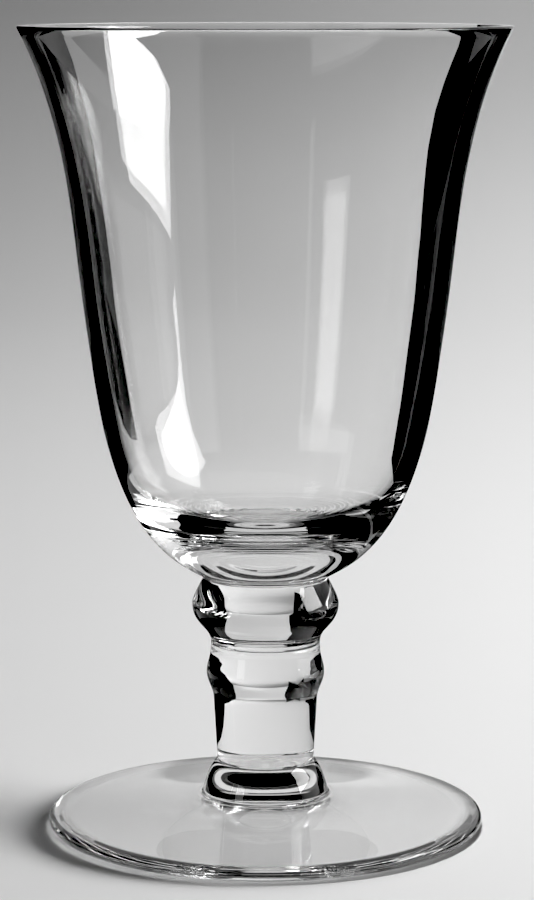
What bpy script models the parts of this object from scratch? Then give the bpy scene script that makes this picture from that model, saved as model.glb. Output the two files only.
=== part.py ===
"""Footed iced tea glass in clear soda glass, made of four gathers fused hot, one on top of the other.

A bell bowl with a flared lip and a thick base stands on a rounded knop. The knop is fused to a stem,
which swells into a second, smaller knop and narrows to a shank. The shank stands on the collar of a
wide, gently sloping foot. Every piece is turned about the glass's own axis, +Z, and the foot's
contact ring lies on z = 0. Sizes are in metres and angles in degrees.
"""

import math

import bpy
from mathutils import Vector
from mathutils.geometry import interpolate_bezier

# Heights of the four pieces, stacked from the table to the rim
FOOT_HEIGHT = 0.0140
STEM_HEIGHT = 0.0252
KNOP_HEIGHT = 0.0140
BOWL_HEIGHT = 0.1148

# Fused discs where one piece meets the next
NECK_RADIUS = 0.01295
WAIST_RADIUS = 0.01146
SHANK_RADIUS = 0.01015

# Bowl, outside: heights are above the fused neck, and leans are outwards from upright
RIM_RADIUS = 0.0508
RIM_LEAN = 27.0
BELL_RADIUS = 0.0383
BELL_HEIGHT = 0.0613
BELL_LEAN = 7.1
HEEL_RADIUS = 0.0336
HEEL_HEIGHT = 0.0310
HEEL_LEAN = 12.8
NECK_LEAN = 40.0

# Bowl, inside: the wall thins towards the cut and polished lip and stands on a thick base
LIP_WALL = 0.0022
LIP_EDGE = 0.0004
BELL_WALL = 0.0028
HEEL_WALL = 0.0030
BASE_THICKNESS = 0.0114

# Knop between the bowl and the stem: its widest ring is measured up from its lower end
KNOP_RADIUS = 0.0154
KNOP_WIDEST_HEIGHT = 0.0084
KNOP_SHOULDER_LEAN = -28.0

# Stem: heights are above its lower end
STEM_KNOP_RADIUS = 0.0124
STEM_KNOP_HEIGHT = 0.0189
SHANK_TOP_RADIUS = 0.0109
SHANK_TOP_HEIGHT = 0.0133

# Foot: collar under the shank, sloping disc, rounded edge, and hollow underside inside a contact ring
COLLAR_RADIUS = 0.0132
COLLAR_BASE_HEIGHT = 0.0074
COLLAR_TOP_LEAN = -50.0
COLLAR_BASE_LEAN = -12.0
COLLAR_FILLET = 0.0014
FOOT_RADIUS = 0.0459
FOOT_EDGE_THICKNESS = 0.0027
FOOT_EDGE_LIFT = 0.0003
DISC_SLOPE_AT_COLLAR = 10.0
DISC_SLOPE_AT_EDGE = 5.0
EDGE_TUCK = 80.0
RING_OUTER_RADIUS = 0.0436
RING_INNER_RADIUS = 0.0385
UNDERSIDE_HOLLOW = 0.0016

# How far each curve holds its two end directions, as shares of the straight line between its ends
FLARE_PULLS = (0.40, 0.26)
CHEEK_PULLS = (0.31, 0.22)
CUP_PULLS = (0.48, 0.62)
UNDERSIDE_PULLS = (0.75, 0.09)
KNOP_SHOULDER_PULLS = (0.32, 0.18)
KNOP_TAPER_PULLS = (0.48, 0.39)
STEM_SWELL_PULLS = (0.58, 0.34)
STEM_TAPER_PULLS = (0.32, 0.36)
COLLAR_PULLS = (0.20, 0.36)
FILLET_PULLS = (0.45, 0.45)
DISC_PULLS = (0.33, 0.33)
HOLLOW_PULLS = (0.33, 0.45)

# Facets around the axis, and points along each kind of stretch
FACETS = 56
LONG_POINTS = 11
ROUND_POINTS = 7
SHORT_POINTS = 5
EDGE_POINTS = 5

# Clear, colourless glass with a polished surface
GLASS_COLOUR = (0.96, 0.97, 0.97, 1.0)
GLASS_ROUGHNESS = 0.02
GLASS_IOR = 1.52

SAME_POINT = 0.00001
UPRIGHT = 0.0
INWARDS = -90.0


def leaning(angle):
    """Unit direction in the profile plane, upwards and leaning outwards by an angle from upright."""
    return Vector((math.sin(math.radians(angle)), 0.0, math.cos(math.radians(angle))))


def point(radius, height):
    """Profile point at a radius from the axis and a height in the piece's own frame."""
    return Vector((radius, 0.0, height))


def sweep(upper, upper_lean, lower, lower_lean, pulls, count):
    """Smooth stretch down from one point to another, along the lean given at each of its ends."""
    span = (upper - lower).length
    upper_handle = upper - pulls[0] * span * leaning(upper_lean)
    lower_handle = lower + pulls[1] * span * leaning(lower_lean)
    return interpolate_bezier(upper, upper_handle, lower_handle, lower, count)


def arc(centre, radius, first_lean, last_lean, count):
    """Arc about a centre, between two directions given as leans from upright."""
    step = (last_lean - first_lean) / (count - 1)
    return [centre + radius * leaning(first_lean + step * index) for index in range(count)]


def joined(*stretches):
    """One run of points from stretches placed end to end, with each shared end kept once."""
    run = list(stretches[0])
    for stretch in stretches[1:]:
        shares_end = (stretch[0] - run[-1]).length < SAME_POINT
        run.extend(stretch[1:] if shares_end else stretch)
    return run


def bowl_side(lip, bell_wall, heel_wall):
    """Flare and cheek from the lip down to the heel, set in from the outside by the wall."""
    bell = point(BELL_RADIUS - bell_wall, BELL_HEIGHT)
    heel = point(HEEL_RADIUS - heel_wall, HEEL_HEIGHT)
    flare = sweep(lip, RIM_LEAN, bell, BELL_LEAN, FLARE_PULLS, LONG_POINTS)
    cheek = sweep(bell, BELL_LEAN, heel, HEEL_LEAN, CHEEK_PULLS, SHORT_POINTS)
    return joined(flare, cheek)


def bowl_profile():
    """Bell bowl, from the middle of its floor up the inside, over the flat lip and down to the neck."""
    neck = point(NECK_RADIUS, 0.0)
    floor = point(0.0, BASE_THICKNESS)
    edge_height = BOWL_HEIGHT - LIP_EDGE
    inner_centre = point(RIM_RADIUS - LIP_WALL + LIP_EDGE, edge_height)
    outer_centre = point(RIM_RADIUS - LIP_EDGE, edge_height)
    inner_edge = arc(inner_centre, LIP_EDGE, INWARDS + RIM_LEAN, UPRIGHT, EDGE_POINTS)
    outer_edge = arc(outer_centre, LIP_EDGE, UPRIGHT, RIM_LEAN - INWARDS, EDGE_POINTS)
    inside = bowl_side(inner_edge[0], BELL_WALL, HEEL_WALL)
    outside = bowl_side(outer_edge[-1], 0.0, 0.0)
    cup = sweep(inside[-1], HEEL_LEAN, floor, -INWARDS, CUP_PULLS, LONG_POINTS)
    underside = sweep(outside[-1], HEEL_LEAN, neck, NECK_LEAN, UNDERSIDE_PULLS, LONG_POINTS)
    up_the_inside = list(reversed(joined(inside, cup)))
    return joined(up_the_inside, inner_edge, outer_edge, outside, underside, [point(0.0, 0.0)])


def knop_profile():
    """Rounded knop, wide near its top, drawn in below to the crease above the stem."""
    neck = point(NECK_RADIUS, KNOP_HEIGHT)
    widest = point(KNOP_RADIUS, KNOP_WIDEST_HEIGHT)
    waist = point(WAIST_RADIUS, 0.0)
    shoulder = sweep(neck, KNOP_SHOULDER_LEAN, widest, UPRIGHT, KNOP_SHOULDER_PULLS, SHORT_POINTS)
    taper = sweep(widest, UPRIGHT, waist, UPRIGHT, KNOP_TAPER_PULLS, LONG_POINTS)
    return joined([point(0.0, KNOP_HEIGHT)], shoulder, taper, [point(0.0, 0.0)])


def stem_profile():
    """Lower knop drawn out into a shank that tapers a little towards the foot."""
    waist = point(WAIST_RADIUS, STEM_HEIGHT)
    widest = point(STEM_KNOP_RADIUS, STEM_KNOP_HEIGHT)
    shank_top = point(SHANK_TOP_RADIUS, SHANK_TOP_HEIGHT)
    shank_end = point(SHANK_RADIUS, 0.0)
    shank_lean = math.degrees(math.atan2(SHANK_TOP_RADIUS - SHANK_RADIUS, SHANK_TOP_HEIGHT))
    swell = sweep(waist, UPRIGHT, widest, UPRIGHT, STEM_SWELL_PULLS, ROUND_POINTS)
    taper = sweep(widest, UPRIGHT, shank_top, shank_lean, STEM_TAPER_PULLS, ROUND_POINTS)
    return joined([point(0.0, STEM_HEIGHT)], swell, taper, [shank_end], [point(0.0, 0.0)])


def foot_profile():
    """Collar, sloping disc with a rounded edge, contact ring and slightly hollow underside."""
    edge_radius = FOOT_EDGE_THICKNESS / 2
    edge_centre = point(FOOT_RADIUS - edge_radius, FOOT_EDGE_LIFT + edge_radius)
    edge = arc(edge_centre, edge_radius, DISC_SLOPE_AT_EDGE, 90.0 + EDGE_TUCK, ROUND_POINTS)
    shank_end = point(SHANK_RADIUS, FOOT_HEIGHT)
    collar = point(COLLAR_RADIUS, COLLAR_BASE_HEIGHT)
    disc_top = collar + point(COLLAR_FILLET, -COLLAR_FILLET / 2)
    flare = sweep(shank_end, COLLAR_TOP_LEAN, collar, COLLAR_BASE_LEAN, COLLAR_PULLS, ROUND_POINTS)
    disc_lean = INWARDS + DISC_SLOPE_AT_COLLAR
    edge_lean = INWARDS + DISC_SLOPE_AT_EDGE
    fillet = sweep(collar, COLLAR_BASE_LEAN, disc_top, disc_lean, FILLET_PULLS, SHORT_POINTS)
    disc = sweep(disc_top, disc_lean, edge[0], edge_lean, DISC_PULLS, ROUND_POINTS)
    ring_outer = point(RING_OUTER_RADIUS, 0.0)
    ring_inner = point(RING_INNER_RADIUS, 0.0)
    hollow_lean = -INWARDS + math.degrees(math.atan2(UNDERSIDE_HOLLOW, RING_INNER_RADIUS))
    middle = point(0.0, UNDERSIDE_HOLLOW)
    hollow = sweep(ring_inner, hollow_lean, middle, -INWARDS, HOLLOW_PULLS, ROUND_POINTS)
    return joined([point(0.0, FOOT_HEIGHT)], flare, fillet, disc, edge, [ring_outer], hollow)


def clear_glass(name):
    """Clear, polished glass for one piece."""
    material = bpy.data.materials.new(name)
    material.use_nodes = True
    shader = material.node_tree.nodes["Principled BSDF"]
    shader.inputs["Base Color"].default_value = GLASS_COLOUR
    shader.inputs["Roughness"].default_value = GLASS_ROUGHNESS
    shader.inputs["Metallic"].default_value = 0.0
    shader.inputs["IOR"].default_value = GLASS_IOR
    shader.inputs["Transmission Weight"].default_value = 1.0
    return material


def turned(name, profile, height, holder, collection):
    """One closed piece of glass, turned from its profile and stood at a height on the axis."""
    mesh = bpy.data.meshes.new(name)
    edges = [(index, index + 1) for index in range(len(profile) - 1)]
    mesh.from_pydata(profile, edges, [])
    mesh.materials.append(clear_glass(name + "_glass"))
    piece = bpy.data.objects.new(name, mesh)
    piece.location = (0.0, 0.0, height)
    piece.parent = holder
    collection.objects.link(piece)
    screw = piece.modifiers.new("turned", "SCREW")
    screw.axis = "Z"
    screw.steps = FACETS
    screw.render_steps = FACETS
    screw.use_smooth_shade = True
    screw.use_merge_vertices = True
    screw.merge_threshold = SAME_POINT


def main():
    """Clears the scene and stands the four fused pieces on one another."""
    for stray in list(bpy.data.objects):
        bpy.data.objects.remove(stray, do_unlink=True)
    collection = bpy.data.collections.new("iced_tea_glass")
    bpy.context.scene.collection.children.link(collection)
    holder = bpy.data.objects.new("glass_axis", None)
    collection.objects.link(holder)
    stack = (
        ("foot", foot_profile(), FOOT_HEIGHT),
        ("stem", stem_profile(), STEM_HEIGHT),
        ("upper_knop", knop_profile(), KNOP_HEIGHT),
        ("bowl", bowl_profile(), BOWL_HEIGHT),
    )
    height = 0.0
    for name, profile, piece_height in stack:
        turned(name, profile, height, holder, collection)
        height += piece_height


main()
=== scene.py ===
"""Clear footed iced tea glass on a pale table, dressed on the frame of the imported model.

Four pieces of colourless glass, fused hot, one on top of the other: a bell bowl, a rounded knop, a stem
with a smaller knop, and a wide foot. Each is turned about the glass's own axis, +Z. Lengths are in
metres and angles in degrees, and a bearing is measured from +Y round towards +X.
"""

import logging
import math
from dataclasses import dataclass
from enum import Enum
from typing import ClassVar

import bmesh
import bpy
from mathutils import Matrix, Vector
from mathutils.geometry import interpolate_bezier


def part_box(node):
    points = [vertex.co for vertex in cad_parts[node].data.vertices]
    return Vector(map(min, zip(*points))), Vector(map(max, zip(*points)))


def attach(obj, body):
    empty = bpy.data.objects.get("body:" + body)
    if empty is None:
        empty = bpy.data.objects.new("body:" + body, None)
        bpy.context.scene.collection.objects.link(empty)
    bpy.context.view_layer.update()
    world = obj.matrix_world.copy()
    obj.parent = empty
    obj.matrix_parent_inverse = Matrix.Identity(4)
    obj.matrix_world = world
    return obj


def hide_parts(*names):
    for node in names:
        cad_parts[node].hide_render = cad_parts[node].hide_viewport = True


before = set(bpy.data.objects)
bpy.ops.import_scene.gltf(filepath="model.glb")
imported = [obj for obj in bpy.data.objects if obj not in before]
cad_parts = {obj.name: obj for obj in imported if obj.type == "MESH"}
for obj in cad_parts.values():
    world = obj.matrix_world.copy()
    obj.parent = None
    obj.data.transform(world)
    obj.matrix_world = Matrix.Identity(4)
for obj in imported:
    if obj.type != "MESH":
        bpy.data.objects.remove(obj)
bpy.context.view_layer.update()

BODY = "root"
UPRIGHT = 0.0
INWARDS = -90.0
OUTWARDS = 90.0
SAME_POINT = 0.000004
NO_WELD = -1.0
HALF_TURN = 180.0
FULL_TURN = 360.0
WHITE = (1.0, 1.0, 1.0, 1.0)
# A ray's meetings are whole numbers, so each limit on them stands half-way to the next.
AT_MOST_NONE = 0.5
AT_MOST_ONE = 1.5
AT_MOST_TWO = 2.5
AT_MOST_THREE = 3.5

log = logging.getLogger("iced_tea_glass")


class Gather(Enum):
    """The gathers of glass that are fused into the object, by the names of their nodes."""

    FOOT = "foot"
    STEM = "stem"
    KNOP = "upper_knop"
    BOWL = "bowl"


class Shown(Enum):
    """Which of the glass's rays meet a black card.

    They are all of them, those straight through the glass, those straight through solid glass, those
    mirrored at most twice, those mirrored at all, those mirrored inside the glass, those mirrored in the
    bowl's far wall, and those mirrored over and over inside it.
    """

    ALWAYS = "always"
    STRAIGHT = "straight"
    SOLID = "solid"
    FEW = "few"
    MIRRORED = "mirrored"
    INSIDE = "inside"
    FAR_WALL = "far_wall"
    TRAPPED = "trapped"


class Sight(Enum):
    """Ways that the glass is looked through, each by the bearing of what lies behind it."""

    FRONT = 0.0
    FRONT_RIGHT = -45.0
    SIDE = -90.0
    BACK_LEFT = 135.0


def leaning(angle: float) -> Vector:
    """Unit direction in the outline's plane, upwards and leaning outwards by an angle from upright."""
    return Vector((math.sin(math.radians(angle)), 0.0, math.cos(math.radians(angle))))


def bearing(angle: float) -> Vector:
    """Unit direction over the table at an angle from +Y round towards +X."""
    return Vector((math.sin(math.radians(angle)), math.cos(math.radians(angle)), 0.0))


def point(radius: float, height: float) -> Vector:
    """Outline point at a radius from the axis and a height above the table."""
    return Vector((radius, 0.0, height))


def spread(first: float, last: float, count: int) -> list[float]:
    """Evenly spread numbers from one to another, both included."""
    return [first + (last - first) * index / (count - 1) for index in range(count)]


@dataclass(frozen=True)
class Curve:
    """Smooth stretch of an outline that runs down from one point to another.

    The leans are its directions at its two ends, and the pulls say how far it holds them, as shares of
    the straight line between the ends.
    """

    FEWEST: ClassVar[int] = 4

    upper: Vector
    upper_lean: float
    lower: Vector
    lower_lean: float
    pulls: tuple[float, float]

    def points(self, spacing: float) -> list[Vector]:
        """Points along the stretch.

        Args:
            spacing: about how far apart they are.

        Returns:
            The points, from the upper end to the lower one.
        """
        span = (self.upper - self.lower).length
        upper_handle = self.upper - self.pulls[0] * span * leaning(self.upper_lean)
        lower_handle = self.lower + self.pulls[1] * span * leaning(self.lower_lean)
        count = max(self.FEWEST, round(span / spacing) + 1)
        return interpolate_bezier(self.upper, upper_handle, lower_handle, self.lower, count)


def straight(start: Vector, end: Vector, spacing: float) -> list[Vector]:
    """Evenly spaced points from one point to another, both included."""
    steps = max(1, round((end - start).length / spacing))
    return [start.lerp(end, step / steps) for step in range(steps + 1)]


def arc(centre: Vector, radius: float, first_lean: float, last_lean: float, count: int) -> list[Vector]:
    """Points of an arc about a centre, between two directions given as leans from upright."""
    step = (last_lean - first_lean) / (count - 1)
    return [centre + radius * leaning(first_lean + step * index) for index in range(count)]


@dataclass(frozen=True)
class ToolRings:
    """Fine rings that a tool leaves on turning glass, strongest half-way between two radii."""

    inner: float
    outer: float
    pitch: float
    height: float

    def on(self, run: list[Vector]) -> list[Vector]:
        """The same outline points, raised and lowered by the rings.

        Args:
            run: points of a stretch that lies about level.

        Returns:
            The rippled points.
        """
        rippled = []
        for place in run:
            share = min(max((place.x - self.inner) / (self.outer - self.inner), 0.0), 1.0)
            swell = math.sin(math.pi * share) * math.sin(math.tau * place.x / self.pitch)
            rippled.append(place + point(0.0, self.height * swell))
        return rippled


def joined(*stretches: list[Vector]) -> list[Vector]:
    """One run of points from stretches placed end to end, with each shared end kept once.

    Args:
        *stretches: the stretches, in order.

    Returns:
        All their points.
    """
    run = list(stretches[0])
    for stretch in stretches[1:]:
        shares_end = (stretch[0] - run[-1]).length < SAME_POINT
        run.extend(stretch[1:] if shares_end else stretch)
    return run


class Wiring:
    """Writes a node tree: makes nodes, sets their values and links their sockets."""

    def __init__(self, tree: bpy.types.NodeTree) -> None:
        """Keeps the tree that the nodes go into."""
        self.tree = tree

    def add(self, kind: str, inputs: dict | None = None, **settings: object) -> bpy.types.Node:
        """Makes one node.

        Args:
            kind: Blender's name for the kind of node.
            inputs: a value, or the output that feeds it, for each input by its name or number.
            **settings: the node's own settings.

        Returns:
            The new node.
        """
        node = self.tree.nodes.new(kind)
        for name, value in settings.items():
            setattr(node, name, value)
        for key, value in (inputs or {}).items():
            if isinstance(value, bpy.types.NodeSocket):
                self.tree.links.new(value, node.inputs[key])
            else:
                node.inputs[key].default_value = value
        return node

    def math(self, operation: str, *values: object) -> bpy.types.NodeSocket:
        """Result of one sum on numbers or outputs."""
        node = self.add("ShaderNodeMath", dict(enumerate(values)), operation=operation)
        return node.outputs[0]


def bare_material(name: str) -> bpy.types.Material:
    """Makes a material that has no shader yet.

    Args:
        name: its name.

    Returns:
        The new material.
    """
    material = bpy.data.materials.new(name)
    material.use_nodes = True
    nodes = material.node_tree.nodes
    nodes.remove(nodes["Principled BSDF"])
    return material


def with_surface(material: bpy.types.Material, shader: bpy.types.Node) -> bpy.types.Material:
    """Puts a shader on a material's output.

    Args:
        material: a material that has no shader yet.
        shader: one of its nodes.

    Returns:
        The same material.
    """
    output = material.node_tree.nodes["Material Output"]
    material.node_tree.links.new(shader.outputs[0], output.inputs["Surface"])
    return material


class Lathe:
    """Geometry Nodes tree that turns an outline about +Z, closes it and gives it its materials."""

    NAME = "turned about the axis"
    SEED = 7.0
    DETAIL = 1.0
    NOISE_MIDDLE = 0.5

    def __init__(self) -> None:
        """Builds the tree once, for every piece to share."""
        self.tree = bpy.data.node_groups.new(self.NAME, "GeometryNodeTree")
        self.sockets: dict[str, str] = {}
        for name, kind in (
            ("Outline", "NodeSocketGeometry"),
            ("Facets", "NodeSocketInt"),
            ("Lower Weld", "NodeSocketFloat"),
            ("Upper Weld", "NodeSocketFloat"),
            ("Wander", "NodeSocketFloat"),
            ("Wander Length", "NodeSocketFloat"),
            ("Surface", "NodeSocketMaterial"),
            ("Fused Face", "NodeSocketMaterial"),
        ):
            socket = self.tree.interface.new_socket(name, in_out="INPUT", socket_type=kind)
            self.sockets[name] = socket.identifier
        self.tree.interface.new_socket("Piece", in_out="OUTPUT", socket_type="NodeSocketGeometry")
        self._wire()

    def _wire(self) -> None:
        """Lays a grid of outline points by facets, bends it round the axis and closes its seams."""
        wiring = Wiring(self.tree)
        given = wiring.add("NodeGroupInput").outputs
        size = wiring.add("GeometryNodeAttributeDomainSize", {"Geometry": given["Outline"]})
        count = size.outputs["Point Count"]
        columns = wiring.math("ADD", given["Facets"], 1.0)
        grid = wiring.add("GeometryNodeMeshGrid", {"Vertices X": columns, "Vertices Y": count})
        index = wiring.add("GeometryNodeInputIndex").outputs[0]
        along = wiring.math("MODULO", index, count)
        column = wiring.math("FLOOR", wiring.math("DIVIDE", index, count))
        angle = wiring.math("DIVIDE", wiring.math("MULTIPLY", column, math.tau), given["Facets"])
        place = wiring.add("GeometryNodeInputPosition").outputs[0]
        sampled = wiring.add(
            "GeometryNodeSampleIndex",
            {"Geometry": given["Outline"], "Value": place, "Index": along},
            data_type="FLOAT_VECTOR",
        )
        outline = wiring.add("ShaderNodeSeparateXYZ", {0: sampled.outputs[0]}).outputs
        true_place = self._around(wiring, outline["X"], angle, outline["Z"])
        radius = self._wandering(wiring, true_place, outline["X"], given)
        bent_place = self._around(wiring, radius, angle, outline["Z"])
        bent = wiring.add(
            "GeometryNodeSetPosition", {"Geometry": grid.outputs["Mesh"], "Position": bent_place}
        )
        closed = wiring.add(
            "GeometryNodeMergeByDistance", {"Geometry": bent.outputs[0], "Distance": SAME_POINT}
        )
        height = wiring.add("ShaderNodeSeparateXYZ", {0: place}).outputs["Z"]
        at_lower = wiring.math("COMPARE", height, given["Lower Weld"], SAME_POINT)
        at_upper = wiring.math("COMPARE", height, given["Upper Weld"], SAME_POINT)
        fused = wiring.math("MAXIMUM", at_lower, at_upper)
        open_side = wiring.math("SUBTRACT", 1.0, fused)
        real = wiring.add("GeometryNodeRealizeInstances", {"Geometry": closed.outputs[0]})
        shaded = wiring.add(
            "GeometryNodeSetShadeSmooth", {"Geometry": real.outputs[0], "Shade Smooth": open_side}
        )
        dressed = wiring.add(
            "GeometryNodeSetMaterial", {"Geometry": shaded.outputs[0], "Material": given["Surface"]}
        )
        welded = wiring.add(
            "GeometryNodeSetMaterial",
            {"Geometry": dressed.outputs[0], "Selection": fused, "Material": given["Fused Face"]},
        )
        wiring.add("NodeGroupOutput", {0: welded.outputs[0]})

    @staticmethod
    def _around(wiring: Wiring, radius: object, angle: object, height: object) -> bpy.types.NodeSocket:
        """Place in the round.

        Args:
            wiring: what the nodes are made with.
            radius: its radius from the axis.
            angle: its angle round the axis.
            height: its height.

        Returns:
            The output that holds the place.
        """
        across = wiring.math("MULTIPLY", radius, wiring.math("COSINE", angle))
        deep = wiring.math("MULTIPLY", radius, wiring.math("SINE", angle))
        return wiring.add("ShaderNodeCombineXYZ", {"X": across, "Y": deep, "Z": height}).outputs[0]

    @staticmethod
    def _wandering(wiring: Wiring, place: object, radius: object, given: object) -> bpy.types.NodeSocket:
        """Radius that strays a little from the true round, as hand-turned glass does, but not at the axis.

        Args:
            wiring: what the nodes are made with.
            place: the place on the true round.
            radius: the true radius.
            given: the tree's inputs.

        Returns:
            The output that holds the radius.
        """
        pitch = wiring.math("DIVIDE", 1.0, given["Wander Length"])
        noise = wiring.add(
            "ShaderNodeTexNoise",
            {"Vector": place, "W": Lathe.SEED, "Scale": pitch, "Detail": Lathe.DETAIL},
            noise_dimensions="4D",
        )
        swing = wiring.math("SUBTRACT", noise.outputs[0], Lathe.NOISE_MIDDLE)
        stray = wiring.math("MULTIPLY", swing, given["Wander"])
        share = wiring.math("MINIMUM", wiring.math("DIVIDE", radius, given["Wander Length"]), 1.0)
        return wiring.math("ADD", radius, wiring.math("MULTIPLY", stray, share))

    def turn(self, name: str, outline: list[Vector], **sizes: object) -> bpy.types.Object:
        """Turns one piece.

        Args:
            name: the piece's name.
            outline: its points in the XZ plane, from one end on the axis to the other.
            **sizes: the tree's inputs, with underscores for the spaces in their names.

        Returns:
            The piece as a plain mesh object in the scene.
        """
        draft = bpy.data.meshes.new(name + "_outline")
        draft.from_pydata(outline, [(index, index + 1) for index in range(len(outline) - 1)], [])
        blank = bpy.data.objects.new(name + "_blank", draft)
        bpy.context.scene.collection.objects.link(blank)
        modifier = blank.modifiers.new(self.NAME, "NODES")
        modifier.node_group = self.tree
        for key, value in sizes.items():
            modifier[self.sockets[key.replace("_", " ").title()]] = value
        depsgraph = bpy.context.evaluated_depsgraph_get()
        mesh = bpy.data.meshes.new_from_object(blank.evaluated_get(depsgraph))
        bpy.data.objects.remove(blank)
        bpy.data.meshes.remove(draft)
        mesh.name = name
        piece = bpy.data.objects.new(name, mesh)
        bpy.context.scene.collection.objects.link(piece)
        return piece


def face_outwards(mesh: bpy.types.Mesh) -> None:
    """Turns every face of a closed mesh outwards.

    Args:
        mesh: the mesh, which is changed.
    """
    work = bmesh.new()
    work.from_mesh(mesh)
    bmesh.ops.recalc_face_normals(work, faces=work.faces)
    work.to_mesh(mesh)
    work.free()


@dataclass(frozen=True)
class ClearGlass:
    """Colourless, polished glass with faint tool waves and the bloom of handling."""

    name: str = "clear_glass"
    ior: float = 1.50
    clearest: tuple[float, float, float, float] = (1.0, 1.0, 1.0, 1.0)
    greyest: tuple[float, float, float, float] = (0.97, 0.97, 0.97, 1.0)
    cloud_scale: float = 22.0
    bloom_scale: float = 60.0
    bloom_detail: float = 6.0
    bloom_from: float = 0.55
    bloom_to: float = 0.8
    bloom_roughness: float = 0.012
    wave_scale: float = 45.0
    wave_detail: float = 0.0
    wave_height: float = 0.00002

    def material(self) -> bpy.types.Material:
        """Makes the material, with its patterns on Object coordinates.

        Returns:
            The new material.
        """
        material = bpy.data.materials.new(self.name)
        material.use_nodes = True
        wiring = Wiring(material.node_tree)
        shader = material.node_tree.nodes["Principled BSDF"]
        shader.inputs["IOR"].default_value = self.ior
        shader.inputs["Transmission Weight"].default_value = 1.0
        place = wiring.add("ShaderNodeTexCoord").outputs["Object"]
        clouds = wiring.add("ShaderNodeTexNoise", {"Vector": place, "Scale": self.cloud_scale}).outputs[0]
        tint = wiring.add(
            "ShaderNodeMix", {0: clouds, 6: self.clearest, 7: self.greyest}, data_type="RGBA"
        )
        bloom = wiring.add(
            "ShaderNodeTexNoise",
            {"Vector": place, "Scale": self.bloom_scale, "Detail": self.bloom_detail},
        )
        rough = wiring.add(
            "ShaderNodeMapRange",
            {
                "Value": bloom.outputs[0],
                "From Min": self.bloom_from,
                "From Max": self.bloom_to,
                "To Max": self.bloom_roughness,
            },
        )
        waves = wiring.add(
            "ShaderNodeTexNoise",
            {"Vector": place, "Scale": self.wave_scale, "Detail": self.wave_detail},
        )
        bump = wiring.add("ShaderNodeBump", {"Height": waves.outputs[0], "Distance": self.wave_height})
        links = material.node_tree.links
        links.new(tint.outputs[2], shader.inputs["Base Color"])
        links.new(rough.outputs[0], shader.inputs["Roughness"])
        links.new(bump.outputs[0], shader.inputs["Normal"])
        return material


@dataclass(frozen=True)
class FusedFace:
    """Face where two gathers have melted into one: light goes straight on through it."""

    name: str = "fused_face"

    def material(self) -> bpy.types.Material:
        """Makes the material."""
        material = bare_material(self.name)
        return with_surface(material, Wiring(material.node_tree).add("ShaderNodeBsdfTransparent"))


@dataclass
class TurnedPiece:
    """One gather of glass, turned from its outline and standing at its place in the frame."""

    gather: ClassVar[Gather]
    lower_weld: ClassVar[bool] = True
    upper_weld: ClassVar[bool] = True
    spacing: float = 0.0005
    facets: int = 360
    wander: float = 0.00012
    wander_length: float = 0.03

    @property
    def bottom(self) -> float:
        """Height of the piece's lower end in the frame."""
        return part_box(self.gather.value)[0].z

    @property
    def top(self) -> float:
        """Height of the piece's upper end in the frame."""
        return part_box(self.gather.value)[1].z

    @property
    def widest(self) -> float:
        """Largest radius of the piece in the frame."""
        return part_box(self.gather.value)[1].x

    def at(self, radius: float, height: float) -> Vector:
        """Outline point at a height above the piece's own lower end."""
        return point(radius, self.bottom + height)

    def outline(self) -> list[Vector]:
        """Outline of the piece; each kind of piece has its own."""
        raise NotImplementedError

    def build(self, lathe: Lathe, glass: bpy.types.Material, fused: bpy.types.Material) -> bpy.types.Object:
        """Turns the piece, dresses it and seats it in the frame.

        Args:
            lathe: the tree that turns outlines.
            glass: finish of its open surfaces.
            fused: finish of the faces that are melted to its neighbours.

        Returns:
            The finished piece.
        """
        piece = lathe.turn(
            self.gather.value + "_glass",
            self.outline(),
            facets=self.facets,
            lower_weld=self.bottom if self.lower_weld else NO_WELD,
            upper_weld=self.top if self.upper_weld else NO_WELD,
            wander=self.wander,
            wander_length=self.wander_length,
            surface=glass,
            fused_face=fused,
        )
        face_outwards(piece.data)
        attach(piece, BODY)
        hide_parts(self.gather.value)
        return piece


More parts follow.
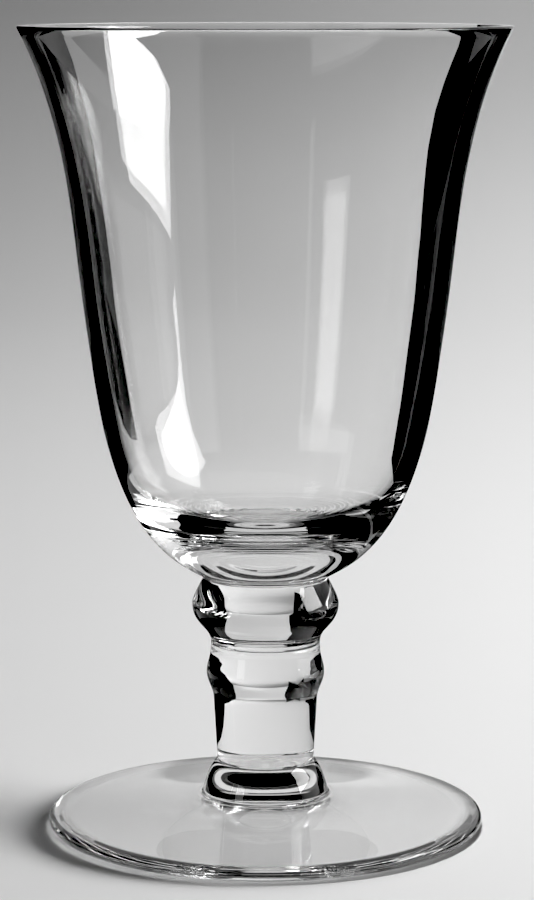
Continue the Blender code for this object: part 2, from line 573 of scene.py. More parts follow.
@dataclass
class Bowl(TurnedPiece):
    """Bell bowl with a flared, cut and polished lip and a thick base."""

    gather = Gather.BOWL
    upper_weld = False
    spacing: float = 0.0012
    facets: int = 320
    neck_radius: float = 0.01295
    neck_lean: float = 40.0
    rim_lean: float = 27.0
    bell_radius: float = 0.0383
    bell_height: float = 0.0613
    bell_lean: float = 7.1
    heel_radius: float = 0.0336
    heel_height: float = 0.0310
    heel_lean: float = 12.8
    lip_wall: float = 0.0022
    lip_edge: float = 0.0004
    bell_wall: float = 0.0028
    heel_wall: float = 0.0030
    base_thickness: float = 0.0114
    cup_spacing: float = 0.0003
    cup_rings: ToolRings = ToolRings(inner=0.002, outer=0.022, pitch=0.0021, height=0.00009)
    lip_points: int = 7
    flare_pulls: tuple[float, float] = (0.40, 0.26)
    cheek_pulls: tuple[float, float] = (0.31, 0.22)
    cup_pulls: tuple[float, float] = (0.48, 0.62)
    underside_pulls: tuple[float, float] = (0.75, 0.09)

    def lip_corner(self, lip_wall: float) -> Vector:
        """Centre of the rounding at the lip's outer edge, or at its inner one, set in by the wall."""
        inset = self.lip_edge if lip_wall == 0.0 else lip_wall - self.lip_edge
        return point(self.widest - inset, self.top - self.lip_edge)

    def side(self, lip_wall: float, bell_wall: float, heel_wall: float) -> list[Vector]:
        """Flare and cheek from the lip down to the heel, set in from the outside by the wall.

        Args:
            lip_wall: the wall at the lip, or zero for the outside.
            bell_wall: the wall where the flare meets the cheek.
            heel_wall: the wall at the heel.

        Returns:
            Its points.
        """
        normal = INWARDS if lip_wall else OUTWARDS
        lip = self.lip_corner(lip_wall) + self.lip_edge * leaning(normal + self.rim_lean)
        bell = self.at(self.bell_radius - bell_wall, self.bell_height)
        heel = self.at(self.heel_radius - heel_wall, self.heel_height)
        flare = Curve(lip, self.rim_lean, bell, self.bell_lean, self.flare_pulls)
        cheek = Curve(bell, self.bell_lean, heel, self.heel_lean, self.cheek_pulls)
        return joined(flare.points(self.spacing), cheek.points(self.spacing))

    def outline(self) -> list[Vector]:
        """From the middle of the floor up the inside, over the lip and down to the fused neck.

        Returns:
            The outline's points.
        """
        neck = self.at(self.neck_radius, 0.0)
        floor = self.at(0.0, self.base_thickness)
        inside = self.side(self.lip_wall, self.bell_wall, self.heel_wall)
        outside = self.side(0.0, 0.0, 0.0)
        cup_curve = Curve(inside[-1], self.heel_lean, floor, OUTWARDS, self.cup_pulls)
        cup = self.cup_rings.on(cup_curve.points(self.cup_spacing))
        inner_lean, outer_lean = INWARDS + self.rim_lean, OUTWARDS + self.rim_lean
        inner_edge = arc(self.lip_corner(self.lip_wall), self.lip_edge, inner_lean, UPRIGHT, self.lip_points)
        outer_edge = arc(self.lip_corner(0.0), self.lip_edge, UPRIGHT, outer_lean, self.lip_points)
        underside = Curve(outside[-1], self.heel_lean, neck, self.neck_lean, self.underside_pulls)
        up_the_inside = list(reversed(joined(inside, cup)))
        lip = joined(inner_edge, outer_edge)
        return joined(up_the_inside, lip, outside, underside.points(self.spacing), [self.at(0.0, 0.0)])


@dataclass
class UpperKnop(TurnedPiece):
    """Rounded knop, wide near its top, drawn in below to the crease above the stem."""

    gather = Gather.KNOP
    neck_radius: float = 0.01295
    waist_radius: float = 0.01146
    widest_height: float = 0.0084
    shoulder_lean: float = -28.0
    shoulder_pulls: tuple[float, float] = (0.32, 0.18)
    taper_pulls: tuple[float, float] = (0.48, 0.39)

    def outline(self) -> list[Vector]:
        """From the middle of the fused neck out over the shoulder and down to the waist.

        Returns:
            The outline's points.
        """
        neck = point(self.neck_radius, self.top)
        widest = self.at(self.widest, self.widest_height)
        waist = self.at(self.waist_radius, 0.0)
        shoulder = Curve(neck, self.shoulder_lean, widest, UPRIGHT, self.shoulder_pulls)
        taper = Curve(widest, UPRIGHT, waist, UPRIGHT, self.taper_pulls)
        sides = joined(shoulder.points(self.spacing), taper.points(self.spacing))
        return joined([point(0.0, self.top)], sides, [self.at(0.0, 0.0)])


@dataclass
class Stem(TurnedPiece):
    """Lower knop drawn out into a shank that tapers a little towards the foot."""

    gather = Gather.STEM
    waist_radius: float = 0.01146
    knop_height: float = 0.0189
    shank_top_radius: float = 0.0109
    shank_top_height: float = 0.0133
    shank_radius: float = 0.01015
    swell_pulls: tuple[float, float] = (0.58, 0.34)
    taper_pulls: tuple[float, float] = (0.32, 0.36)

    def outline(self) -> list[Vector]:
        """From the middle of the fused waist out over the knop and down the shank.

        Returns:
            The outline's points.
        """
        waist = point(self.waist_radius, self.top)
        knop = self.at(self.widest, self.knop_height)
        shank_top = self.at(self.shank_top_radius, self.shank_top_height)
        shank_end = self.at(self.shank_radius, 0.0)
        narrowing = self.shank_top_radius - self.shank_radius
        shank_lean = math.degrees(math.atan2(narrowing, self.shank_top_height))
        swell = Curve(waist, UPRIGHT, knop, UPRIGHT, self.swell_pulls)
        taper = Curve(knop, UPRIGHT, shank_top, shank_lean, self.taper_pulls)
        shank = straight(shank_top, shank_end, self.spacing)
        sides = joined(swell.points(self.spacing), taper.points(self.spacing), shank)
        return joined([point(0.0, self.top)], sides, [self.at(0.0, 0.0)])


@dataclass
class Foot(TurnedPiece):
    """Wide, gently sloping disc with a collar, a rounded edge and a hollow underside."""

    gather = Gather.FOOT
    lower_weld = False
    shank_radius: float = 0.01015
    collar_radius: float = 0.0132
    collar_base_height: float = 0.0074
    collar_top_lean: float = -50.0
    collar_base_lean: float = -12.0
    collar_fillet: float = 0.0014
    edge_thickness: float = 0.0027
    edge_lift: float = 0.0003
    slope_at_collar: float = 10.0
    slope_at_edge: float = 5.0
    edge_tuck: float = 80.0
    edge_points: int = 17
    collar_spacing: float = 0.00025
    fillet_spacing: float = 0.000125
    ring_outer_radius: float = 0.0425
    ring_inner_radius: float = 0.0410
    hollow: float = 0.0038
    collar_pulls: tuple[float, float] = (0.20, 0.36)
    fillet_pulls: tuple[float, float] = (0.45, 0.45)
    disc_pulls: tuple[float, float] = (0.33, 0.33)
    hollow_pulls: tuple[float, float] = (0.50, 0.33)

    def outline(self) -> list[Vector]:
        """From the fused shank over the collar and the disc, round the edge and in under the foot.

        Returns:
            The outline's points.
        """
        edge_radius = self.edge_thickness / 2
        edge_centre = point(self.widest - edge_radius, self.edge_lift + edge_radius)
        edge = arc(edge_centre, edge_radius, self.slope_at_edge, OUTWARDS + self.edge_tuck, self.edge_points)
        shank_end = point(self.shank_radius, self.top)
        collar = self.at(self.collar_radius, self.collar_base_height)
        disc_top = collar + point(self.collar_fillet, -self.collar_fillet / 2)
        disc_lean = INWARDS + self.slope_at_collar
        edge_lean = INWARDS + self.slope_at_edge
        flare = Curve(shank_end, self.collar_top_lean, collar, self.collar_base_lean, self.collar_pulls)
        fillet = Curve(collar, self.collar_base_lean, disc_top, disc_lean, self.fillet_pulls)
        disc = Curve(disc_top, disc_lean, edge[0], edge_lean, self.disc_pulls)
        ring_outer = self.at(self.ring_outer_radius, 0.0)
        ring_inner = self.at(self.ring_inner_radius, 0.0)
        hollow_lean = OUTWARDS + math.degrees(math.atan2(self.hollow, self.ring_inner_radius))
        hollow = Curve(ring_inner, hollow_lean, self.at(0.0, self.hollow), OUTWARDS, self.hollow_pulls)
        neck = joined(flare.points(self.collar_spacing), fillet.points(self.fillet_spacing))
        upper = joined(neck, disc.points(self.spacing))
        ring = straight(ring_outer, ring_inner, self.spacing)
        under = joined(straight(edge[-1], ring_outer, self.spacing), ring, hollow.points(self.spacing))
        return joined([point(0.0, self.top)], upper, edge, under)


@dataclass(frozen=True)
class TablePaper:
    """Pale matt paper of the table and its sweep.

    The glass shows a soft painted glow on the sweep above the picture and a painted pool of light under the
    foot, brighter towards the right; the camera itself doesn't see them.
    """

    name: str = "table_paper"
    colour: tuple[float, float, float, float] = (0.80, 0.80, 0.80, 1.0)
    roughness: float = 0.9
    gloss: float = 0.0
    light_from: float = 0.17
    light_to: float = 0.22
    light: float = 0.52
    pool_radius: float = 0.0455
    pool_edge: float = 0.003
    pool_left: float = 0.14
    pool_right: float = 0.30

    def material(self) -> bpy.types.Material:
        """Makes the material.

        Returns:
            The new material.
        """
        material = bpy.data.materials.new(self.name)
        material.use_nodes = True
        material.cycles.emission_sampling = "NONE"
        wiring = Wiring(material.node_tree)
        shader = material.node_tree.nodes["Principled BSDF"]
        shader.inputs["Base Color"].default_value = self.colour
        shader.inputs["Roughness"].default_value = self.roughness
        shader.inputs["Specular IOR Level"].default_value = self.gloss
        shader.inputs["Emission Color"].default_value = WHITE
        place = wiring.add("ShaderNodeTexCoord").outputs["Object"]
        sides = wiring.add("ShaderNodeSeparateXYZ", {0: place}).outputs
        # Painted glow on the sweep, rising smoothly with height.
        lift = wiring.add(
            "ShaderNodeMapRange",
            {
                "Value": sides["Z"],
                "From Min": self.light_from,
                "From Max": self.light_to,
                "To Max": self.light,
            },
            interpolation_type="SMOOTHSTEP",
        )
        # Painted pool of light on the table under the foot, fading out at its edge.
        away = wiring.add("ShaderNodeVectorMath", {0: place}, operation="LENGTH").outputs["Value"]
        pool = wiring.add(
            "ShaderNodeMapRange",
            {
                "Value": away,
                "From Min": self.pool_radius,
                "From Max": self.pool_radius - self.pool_edge,
            },
            interpolation_type="SMOOTHSTEP",
        )
        # The painted pool of light is brighter towards the right.
        side = wiring.add(
            "ShaderNodeMapRange",
            {
                "Value": sides["X"],
                "From Min": -self.pool_radius,
                "From Max": self.pool_radius,
                "To Min": self.pool_left,
                "To Max": self.pool_right,
            },
        )
        painted_glow = wiring.math("MULTIPLY_ADD", pool.outputs[0], side.outputs[0], lift.outputs[0])
        # The painted light is hidden from the camera and from light that has met the table.
        path = wiring.add("ShaderNodeLightPath").outputs
        met_table = wiring.math("GREATER_THAN", path["Diffuse Depth"], AT_MOST_NONE)
        unseen = wiring.math("MAXIMUM", met_table, path["Is Camera Ray"])
        shine = wiring.math("MULTIPLY", painted_glow, wiring.math("SUBTRACT", 1.0, unseen))
        material.node_tree.links.new(shine, shader.inputs["Emission Strength"])
        return material


@dataclass(frozen=True)
class Glow:
    """Even light from a flat panel."""

    name: str
    strength: float

    def material(self) -> bpy.types.Material:
        """Makes the material.

        Returns:
            The new material.
        """
        material = bare_material(self.name)
        shine = Wiring(material.node_tree).add("ShaderNodeEmission", {"Strength": self.strength})
        return with_surface(material, shine)


@dataclass(frozen=True)
class BlackCard:
    """Dead black card, which what lights the table passes straight through."""

    shown: Shown

    def material(self) -> bpy.types.Material:
        """Makes the material: black, but clear to light that has met the table.

        A card that isn't always shown is clear to the glass's other rays, too.

        Returns:
            The new material.
        """
        material = bare_material("black_card_" + self.shown.value)
        material.cycles.emission_sampling = "NONE"
        wiring = Wiring(material.node_tree)
        path = wiring.add("ShaderNodeLightPath").outputs
        mirrors = path["Glossy Depth"]
        walls = path["Transmission Depth"]
        straight_on = ("LESS_THAN", mirrors, AT_MOST_NONE)
        mirrored = ("GREATER_THAN", mirrors, AT_MOST_NONE)
        clear_to = {
            Shown.ALWAYS: (),
            Shown.STRAIGHT: (mirrored,),
            Shown.SOLID: (mirrored, ("GREATER_THAN", walls, AT_MOST_TWO)),
            Shown.FEW: (("GREATER_THAN", mirrors, AT_MOST_TWO),),
            Shown.MIRRORED: (straight_on,),
            Shown.INSIDE: (straight_on, ("LESS_THAN", walls, AT_MOST_ONE)),
            Shown.FAR_WALL: (straight_on, ("LESS_THAN", walls, AT_MOST_THREE)),
            Shown.TRAPPED: (("LESS_THAN", mirrors, AT_MOST_ONE),),
        }
        passes = wiring.math("GREATER_THAN", path["Diffuse Depth"], AT_MOST_NONE)
        for test in clear_to[self.shown]:
            passes = wiring.math("MAXIMUM", passes, wiring.math(*test))
        black = wiring.add("ShaderNodeEmission", {"Strength": 0.0})
        clear = wiring.add("ShaderNodeBsdfTransparent")
        mixed = wiring.add("ShaderNodeMixShader", {0: passes, 1: black.outputs[0], 2: clear.outputs[0]})
        return with_surface(material, mixed)


@dataclass
class Table:
    """Round pale table top that sweeps up on every side."""

    height: float = -0.0002
    floor_radius: float = 1.0
    sweep_radius: float = 3.0
    sweep_angle: float = 66.0
    sweep_points: int = 40
    facets: int = 128

    def build(self, lathe: Lathe) -> bpy.types.Object:
        """Turns the table and its sweep.

        Args:
            lathe: the tree that turns outlines.

        Returns:
            The table.
        """
        paper = TablePaper().material()
        centre = point(self.floor_radius, self.height + self.sweep_radius)
        top_lean = HALF_TURN - self.sweep_angle
        sweep = arc(centre, self.sweep_radius, HALF_TURN, top_lean, self.sweep_points)
        table = lathe.turn(
            "table",
            joined([point(0.0, self.height)], sweep),
            facets=self.facets,
            lower_weld=NO_WELD,
            upper_weld=NO_WELD,
            wander=0.0,
            wander_length=1.0,
            surface=paper,
            fused_face=paper,
        )
        return table


def flat_mesh(
    name: str,
    corners: list[Vector],
    faces: list[tuple[int, ...]],
    finish: bpy.types.Material | None = None,
) -> bpy.types.Object:
    """Makes a thing of flat faces for the stage.

    Args:
        name: its name.
        corners: its corners.
        faces: the corners of each face, by their numbers.
        finish: its material, if it is ever seen.

    Returns:
        The new object, in the scene.
    """
    mesh = bpy.data.meshes.new(name)
    mesh.from_pydata(corners, [], faces)
    if finish:
        mesh.materials.append(finish)
    thing = bpy.data.objects.new(name, mesh)
    bpy.context.scene.collection.objects.link(thing)
    return thing


def for_glass_only(panel: bpy.types.Object) -> None:
    """Hides a panel from the camera, the table and the lamps.

    Args:
        panel: the panel.
    """
    panel.visible_camera = False
    panel.visible_diffuse = False
    panel.visible_shadow = False


@dataclass(frozen=True)
class Post:
    """Upright edge of a standing card: its bearing and distance from the axis, and its two heights."""

    turn: float
    away: float
    foot: float
    head: float

    def ends(self) -> tuple[Vector, Vector]:
        """The lower and the upper end of the edge."""
        place = bearing(self.turn) * self.away
        return place + Vector((0.0, 0.0, self.foot)), place + Vector((0.0, 0.0, self.head))


@dataclass
class DarkCards:
    """Black cards that stand round the glass, just out of sight, and draw its edges.

    They leave a lane open behind the glass for each way that it is looked through. Only the glass
    shows them: the camera, the table and the lamps look past them. A span holds a card's first and
    last bearing. Posts are given by their bearing and foot, and by their head where it differs.
    """

    near: float = 0.166
    bend: float = 0.206
    far: float = 0.458
    head: float = 0.40
    lift: float = 0.0006
    round_posts: int = 9
    gate: float = 22.0
    splay: float = 7.0
    right_bulge_posts: tuple[tuple[float, float, float], ...] = (
        (19.7, 0.128, 0.138),
        (20.3, 0.119, 0.146),
        (21.2, 0.107, 0.155),
    )
    right_corner_posts: tuple[tuple[float, float], ...] = (
        (21.8, 0.045),
        (25.4, 0.028),
        (30.4, 0.0105),
        (37.0, 0.004),
    )
    right_turns: tuple[float, ...] = (39.0, 57.0, 74.0)
    left_bulge_posts: tuple[tuple[float, float], ...] = ((-13.2, 0.130), (-15.4, 0.070))
    left_bulge_end: float = -15.5
    left_cut: float = 0.045
    strip_side: float = 212.0
    strip_far: float = 0.50
    strip_head: float = 1.0
    stem_posts: tuple[tuple[float, float], ...] = (
        (-33.0, 0.018),
        (-41.0, 0.012),
        (-46.0, 0.0065),
        (-56.0, 0.005),
        (-75.0, 0.004),
    )
    stem_away: float = 0.085
    stem_head: float = 0.024
    knop_span: tuple[float, float] = (-78.0, -15.5)
    knop_away: float = 0.06
    knop_foot: float = 0.034
    knop_head: float = 0.075
    left_lane_span: tuple[float, float] = (-112.0, -22.5)
    right_lane_span: tuple[float, float] = (112.0, 157.0)
    skirt_far: float = 0.70
    skirt_head: float = 0.05
    right_skirt_span: tuple[float, float] = (3.0, 45.0)
    left_skirt_span: tuple[float, float] = (-45.0, -9.0)
    edge_head: float = 0.09
    right_edge_span: tuple[float, float] = (14.0, 60.0)
    left_edge_span: tuple[float, float] = (-60.0, -14.0)
    right_streak_span: tuple[float, float] = (3.0, 22.5)
    left_streak_span: tuple[float, float] = (-50.0, -3.0)
    streak_foot: float = 0.10
    low_span: tuple[float, float] = (-45.0, 45.0)
    low_head: float = 0.075
    wedge_span: tuple[float, float] = (21.5, 49.0)
    wedge_head: float = 0.26
    mat_corner: tuple[tuple[float, float], ...] = ((38.0, 0.150), (42.0, 0.122), (48.0, 0.108))
    mat_span: tuple[float, float] = (56.0, 118.0)
    mat_points: int = 7
    mat_lift: float = 0.0009
    mat_near: float = 0.104
    mat_far: float = 0.74
    ring_near: float = 0.050
    ring_far: float = 0.10
    ring_facets: int = 64
    ring_span: tuple[float, float] = (-180.0, 180.0)
    back_span: tuple[float, float] = (-40.0, 40.0)
    front_span: tuple[float, float] = (122.0, 238.0)

    def right_card(self) -> list[Post]:
        """Card at the right, bulging inwards at the bowl's height, with its lower corner cut away.

        Returns:
            Its posts.
        """
        bulge = [Post(turn, self.near, foot, head) for turn, foot, head in self.right_bulge_posts]
        corner = [Post(turn, self.near, foot, self.head) for turn, foot in self.right_corner_posts]
        return bulge + corner + [Post(turn, self.near, self.lift, self.head) for turn in self.right_turns]

    def left_bulge(self) -> list[Post]:
        """Part of the left card that reaches further in, at the height of the bowl's lip."""
        posts = [*self.left_bulge_posts, (self.left_bulge_end, self.lift)]
        return [Post(turn, self.far, foot, self.head) for turn, foot in posts]

    def low_left_card(self) -> list[Post]:
        """Narrow card near the foot at the left, which darkens only the stem's edge."""
        return [Post(turn, self.stem_away, foot, self.stem_head) for turn, foot in self.stem_posts]

    def wedge(self, one: Sight, other: Sight, cut: float) -> list[Post]:
        """Bent card between two lanes, cut away at its bend.

        Args:
            one: the way that is looked through at its one side.
            other: the way at its other side, which has the lesser bearing.
            cut: height of its foot at the bend.

        Returns:
            Its posts.
        """
        middle = (one.value + other.value) / 2
        first = Post(middle + self.splay, self.far, self.lift, self.head)
        last = Post(middle - self.splay, self.far, self.lift, self.head)
        return [first, Post(middle, self.bend, cut, self.head), last]

    def round_card(
        self, span: tuple[float, float], away: float, head: float, foot: float | None = None
    ) -> list[Post]:
        """Card that runs round the glass at one distance."""
        low = self.lift if foot is None else foot
        return [Post(turn, away, low, head) for turn in spread(*span, self.round_posts)]

    @staticmethod
    def mat(
        edge: list[tuple[float, float]], far: float, lift: float
    ) -> tuple[list[Vector], list[Vector]]:
        """Card that lies on the table.

        Args:
            edge: bearings and distances from the axis along its inner edge.
            far: how far out it goes.
            lift: its height above the table.

        Returns:
            Its inner and its outer edge.
        """
        lifted = Vector((0.0, 0.0, lift))
        inner = [bearing(turn) * near + lifted for turn, near in edge]
        outer = [bearing(turn) * far + lifted for turn, _ in edge]
        return inner, outer

    def right_mat(self) -> tuple[list[Vector], list[Vector]]:
        """Mat at the right, under the window; it lies above the others.

        Returns:
            Its inner and its outer edge.
        """
        turns = spread(*self.mat_span, self.mat_points)
        edge = [*self.mat_corner, *((turn, self.mat_near) for turn in turns)]
        return self.mat(edge, self.mat_far, self.mat_lift)

    def round_mat(
        self, span: tuple[float, float], near: float, far: float
    ) -> tuple[list[Vector], list[Vector]]:
        """Mat between two distances from the axis."""
        turns = spread(*span, self.ring_facets + 1)
        return self.mat([(turn, near) for turn in turns], far, self.lift)

    @staticmethod
    def card(name: str, lower: list[Vector], upper: list[Vector], finish: bpy.types.Material) -> None:
        """Makes one card, which only rays through or off the glass can meet.

        Args:
            name: its name.
            lower: points along its one edge.
            upper: as many points along the other.
            finish: its material.
        """
        width = len(lower)
        faces = [(i, i + 1, i + 1 + width, i + width) for i in range(width - 1)]
        for_glass_only(flat_mesh(name, lower + upper, faces, finish))

    def build(self) -> None:
        """Stands all the cards round the glass and lays the mats."""
        finishes = {shown: BlackCard(shown).material() for shown in Shown}
        front = (Sight.BACK_LEFT.value + self.gate, self.strip_side)
        strip = (self.strip_side, FULL_TURN + Sight.SIDE.value - self.gate)
        left = self.wedge(Sight.FRONT, Sight.FRONT_RIGHT, self.left_cut)
        side = self.wedge(Sight.FRONT_RIGHT, Sight.SIDE, self.lift)
        knop = self.round_card(self.knop_span, self.knop_away, self.knop_head, self.knop_foot)
        right_lane = self.round_card(self.right_lane_span, self.bend, self.head)
        left_lane = self.round_card(self.left_lane_span, self.bend, self.head)
        right_skirt = self.round_card(self.right_skirt_span, self.skirt_far, self.skirt_head)
        left_skirt = self.round_card(self.left_skirt_span, self.skirt_far, self.skirt_head)
        right_edge = self.round_card(self.right_edge_span, self.skirt_far, self.edge_head)
        left_edge = self.round_card(self.left_edge_span, self.skirt_far, self.edge_head)
        right_streak = self.round_card(self.right_streak_span, self.skirt_far, self.strip_head)
        left_streak = self.round_card(
            self.left_streak_span, self.skirt_far, self.strip_head, self.streak_foot
        )
        standing = {
            "right_card": (self.right_card(), Shown.STRAIGHT),
            "front_card": (self.round_card(front, self.near, self.head), Shown.ALWAYS),
            "strip_card": (self.round_card(strip, self.strip_far, self.strip_head), Shown.ALWAYS),
            "left_bulge": (self.left_bulge(), Shown.STRAIGHT),
            "left_inner_card": (left[:2], Shown.STRAIGHT),
            "left_outer_card": (left[1:], Shown.ALWAYS),
            "side_card": (side, Shown.ALWAYS),
            "low_left_card": (self.low_left_card(), Shown.SOLID),
            "knop_card": (knop, Shown.SOLID),
            "left_lane_card": (left_lane, Shown.MIRRORED),
            "right_lane_card": (right_lane, Shown.MIRRORED),
            "right_skirt": (right_skirt, Shown.INSIDE),
            "left_skirt": (left_skirt, Shown.INSIDE),
            "right_edge_card": (right_edge, Shown.MIRRORED),
            "left_edge_card": (left_edge, Shown.MIRRORED),
            "right_streak": (right_streak, Shown.FAR_WALL),
            "left_streak": (left_streak, Shown.FAR_WALL),
            "low_card": (self.round_card(self.low_span, self.near, self.low_head), Shown.TRAPPED),
            "wedge_card": (self.round_card(self.wedge_span, self.near, self.wedge_head), Shown.TRAPPED),
        }
        for name, (posts, shown) in standing.items():
            ends = [post.ends() for post in posts]
            self.card(name, [end[0] for end in ends], [end[1] for end in ends], finishes[shown])
        lying = {
            "right_mat": (self.right_mat(), Shown.FEW),
            "ring_mat": (self.round_mat(self.ring_span, self.ring_near, self.ring_far), Shown.MIRRORED),
            "back_mat": (self.round_mat(self.back_span, self.ring_far, self.skirt_far), Shown.MIRRORED),
            "front_mat": (self.round_mat(self.front_span, self.ring_far, self.near), Shown.MIRRORED),
        }
        for name, ((inner, outer), shown) in lying.items():
            self.card(name, inner, outer, finishes[shown])


@dataclass
class Window:
    """Tall window to the right of the glass, which the glass mirrors and throws its shadow from."""

    name: str = "window_glow"
    away: float = 0.75
    outline: tuple[tuple[float, float], ...] = (
        (0.18, 0.240),
        (-0.274, 0.205),
        (-0.40, 0.63),
        (-0.247, 0.75),
        (0.18, 0.82),
    )
    glow: float = 10.9

    def build(self) -> bpy.types.Object:
        """Hangs the window.

        Returns:
            Its pane.
        """
        corners = [Vector((self.away, along, up)) for along, up in self.outline]
        finish = Glow(self.name, self.glow).material()
        pane = flat_mesh(self.name, corners, [tuple(range(len(corners)))], finish)
        pane.visible_camera = False
        pane.visible_shadow = False
        return pane


@dataclass
class RimShade:
    """Low ring round the foot's edge that stands in for it in the fill lights' shadows."""

    radius: float = 0.0463
    height: float = 0.0026
    shadow_side: float = 240.0
    shadow_height: float = 0.0019
    facets: int = 96

    def build(self) -> bpy.types.Object:
        """Stands the ring round the foot, where only lamps meet it.

        Returns:
            The ring.
        """
        count = self.facets
        turns = [FULL_TURN * index / count for index in range(count)]
        towards = bearing(self.shadow_side)
        heights = [self.height + self.shadow_height * max(0.0, bearing(turn).dot(towards)) for turn in turns]
        lower = [bearing(turn) * self.radius for turn in turns]
        upper = [place + Vector((0.0, 0.0, height)) for place, height in zip(lower, heights)]
        faces = [(i, (i + 1) % count, (i + 1) % count + count, i + count) for i in range(count)]
        ring = flat_mesh("rim_shade", lower + upper, faces)
        ring.visible_camera = False
        ring.visible_diffuse = False
        ring.visible_glossy = False
        ring.visible_transmission = False
        return ring


@dataclass
class GlowPanel:
    """Upright panel of soft light that only the glass shows."""

    name: str
    corners: tuple[tuple[float, float], tuple[float, float]]
    foot: float
    head: float
    glow: float

    def build(self) -> bpy.types.Object:
        """Stands the panel between two places on the table.

        Returns:
            The new panel.
        """
        lower = [Vector((across, deep, self.foot)) for across, deep in self.corners]
        upper = [Vector((across, deep, self.head)) for across, deep in reversed(self.corners)]
        panel = flat_mesh(self.name, lower + upper, [(0, 1, 2, 3)], Glow(self.name, self.glow).material())
        for_glass_only(panel)
        return panel


@dataclass
class FillLight:
    """Soft light over the table, which the glass neither mirrors nor shades."""

    name: str
    place: tuple[float, float, float]
    aim: tuple[float, float, float]
    length: float
    width: float
    power: float

    def build(self, shades: list[bpy.types.Object]) -> bpy.types.Object:
        """Hangs the light.

        Args:
            shades: the only things that shade it.

        Returns:
            The new light.
        """
        lamp = bpy.data.lights.new(self.name, "AREA")
        lamp.shape = "RECTANGLE"
        lamp.size = self.length
        lamp.size_y = self.width
        lamp.energy = self.power
        light = bpy.data.objects.new(self.name, lamp)
        light.location = self.place
        towards = Vector(self.aim) - Vector(self.place)
        light.rotation_euler = towards.to_track_quat("-Z", "Y").to_euler()
        bpy.context.scene.collection.objects.link(light)
        light.visible_camera = False
        light.visible_glossy = False
        light.visible_transmission = False
        shading = bpy.data.collections.new("shades_the_" + self.name)
        for shade in shades:
            shading.objects.link(shade)
        light.light_linking.blocker_collection = shading
        return light


@dataclass
class Room:
    """Soft light from all round for the table; the glass itself sees a dark room with a pale ceiling.

    The ceiling begins lower for what the glass mirrors off its outside.
    """

    ambient: float = 0.047
    ceiling: float = 0.60
    ceiling_from: float = 0.70
    ceiling_to: float = 0.76
    off_surface: float = 0.32

    def build(self) -> None:
        """Makes the world."""
        world = bpy.data.worlds.new("room")
        world.use_nodes = True
        bpy.context.scene.world = world
        world.cycles.sampling_method = "NONE"
        wiring = Wiring(world.node_tree)
        path = wiring.add("ShaderNodeLightPath").outputs
        after_table = wiring.math("GREATER_THAN", path["Diffuse Depth"], AT_MOST_NONE)
        background = world.node_tree.nodes["Background"]
        background.inputs["Color"].default_value = WHITE
        way = wiring.add("ShaderNodeTexCoord").outputs["Generated"]
        rise = wiring.add("ShaderNodeSeparateXYZ", {0: way}).outputs["Z"]
        on_surface = wiring.math("LESS_THAN", path["Transmission Depth"], AT_MOST_NONE)
        overhead = wiring.add(
            "ShaderNodeMapRange",
            {
                "Value": wiring.math("MULTIPLY_ADD", on_surface, self.off_surface, rise),
                "From Min": self.ceiling_from,
                "From Max": self.ceiling_to,
                "To Max": self.ceiling,
            },
        )
        strength = wiring.add(
            "ShaderNodeMix", {0: after_table, 2: overhead.outputs[0], 3: self.ambient}, data_type="FLOAT"
        )
        world.node_tree.links.new(strength.outputs[0], background.inputs["Strength"])


@dataclass
class PhotoCamera:
    """Camera at the photograph's viewing angle."""

    place: tuple[float, float, float] = (0.00033, -0.628, 0.1767)
    level: float = 90.0
    pitch: float = 8.75
    lens: float = 121.6
    sensor: float = 36.0

    def build(self) -> bpy.types.Object:
        """Makes the scene's camera.

        Returns:
            The camera.
        """
        data = bpy.data.cameras.new("photo_camera")
        data.lens = self.lens
        data.sensor_width = self.sensor
        camera = bpy.data.objects.new("photo_camera", data)
        camera.location = self.place
        camera.rotation_euler = (math.radians(self.level - self.pitch), 0.0, 0.0)
        bpy.context.scene.collection.objects.link(camera)
        bpy.context.scene.camera = camera
        return camera


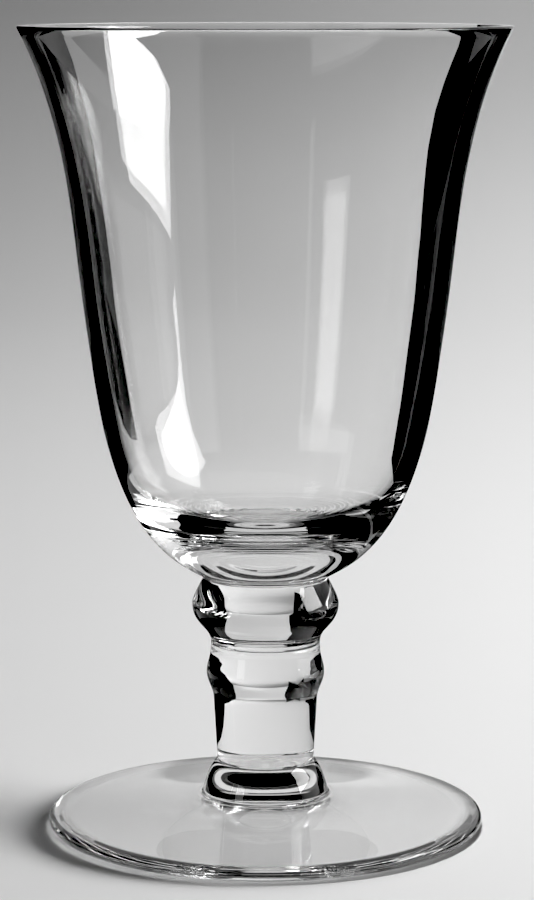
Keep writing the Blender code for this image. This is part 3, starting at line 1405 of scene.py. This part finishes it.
@dataclass
class LightPaths:
    """How many walls of glass light may pass, and how often it may be mirrored, before it is dropped."""

    walls: int = 32
    mirrors: int = 16

    def build(self) -> None:
        """Lets light go on for as long as the fused pieces need."""
        cycles = bpy.context.scene.cycles
        cycles.max_bounces = self.walls
        cycles.transmission_bounces = self.walls
        cycles.glossy_bounces = self.mirrors
        cycles.transparent_max_bounces = self.walls


@dataclass
class Print:
    """Plain, contrasty print: the deepest greys go to black."""

    black_level: float = 0.03

    def build(self) -> None:
        """Sets how the picture is shown."""
        shown = bpy.context.scene.view_settings
        shown.view_transform = "Standard"
        shown.use_curve_mapping = True
        shown.curve_mapping.black_level = (self.black_level,) * 3
        shown.curve_mapping.update()


def main() -> None:
    """Builds the glass, its stage, the light and the camera, and notes the sizes."""
    logging.basicConfig(level=logging.INFO, format="%(name)s: %(message)s")
    PhotoCamera().build()
    lathe = Lathe()
    glass = ClearGlass().material()
    fused = FusedFace().material()
    for gather in (Foot(), Stem(), UpperKnop(), Bowl()):
        piece = gather.build(lathe, glass, fused)
        log.info("%s: %d faces", piece.name, len(piece.data.polygons))
    table = Table().build(lathe)
    DarkCards().build()
    Window().build()
    GlowPanel(
        name="window_sill",
        corners=((0.75, -0.20), (0.75, 0.47)),
        foot=0.0,
        head=0.20,
        glow=1.5,
    ).build()
    GlowPanel(
        name="front_strip",
        corners=((-0.39, -0.243), (-0.307, -0.341)),
        foot=0.02,
        head=0.225,
        glow=2.2,
    ).build()
    shades = [table, RimShade().build()]
    FillLight(
        name="fill_light",
        place=(0.512, 0.756, 0.50),
        aim=(0.0, 0.756, 0.0),
        length=1.64,
        width=0.60,
        power=7.45,
    ).build(shades)
    FillLight(
        name="far_light",
        place=(0.38, 1.977, 0.50),
        aim=(0.38, 1.977, 0.0),
        length=0.62,
        width=0.60,
        power=0.62,
    ).build(shades)
    FillLight(
        name="right_light",
        place=(0.95, 0.40, 0.80),
        aim=(2.45, 0.40, 0.20),
        length=1.20,
        width=0.60,
        power=9.0,
    ).build(shades)
    Room().build()
    LightPaths().build()
    Print().build()


if __name__ == "__main__":
    main()
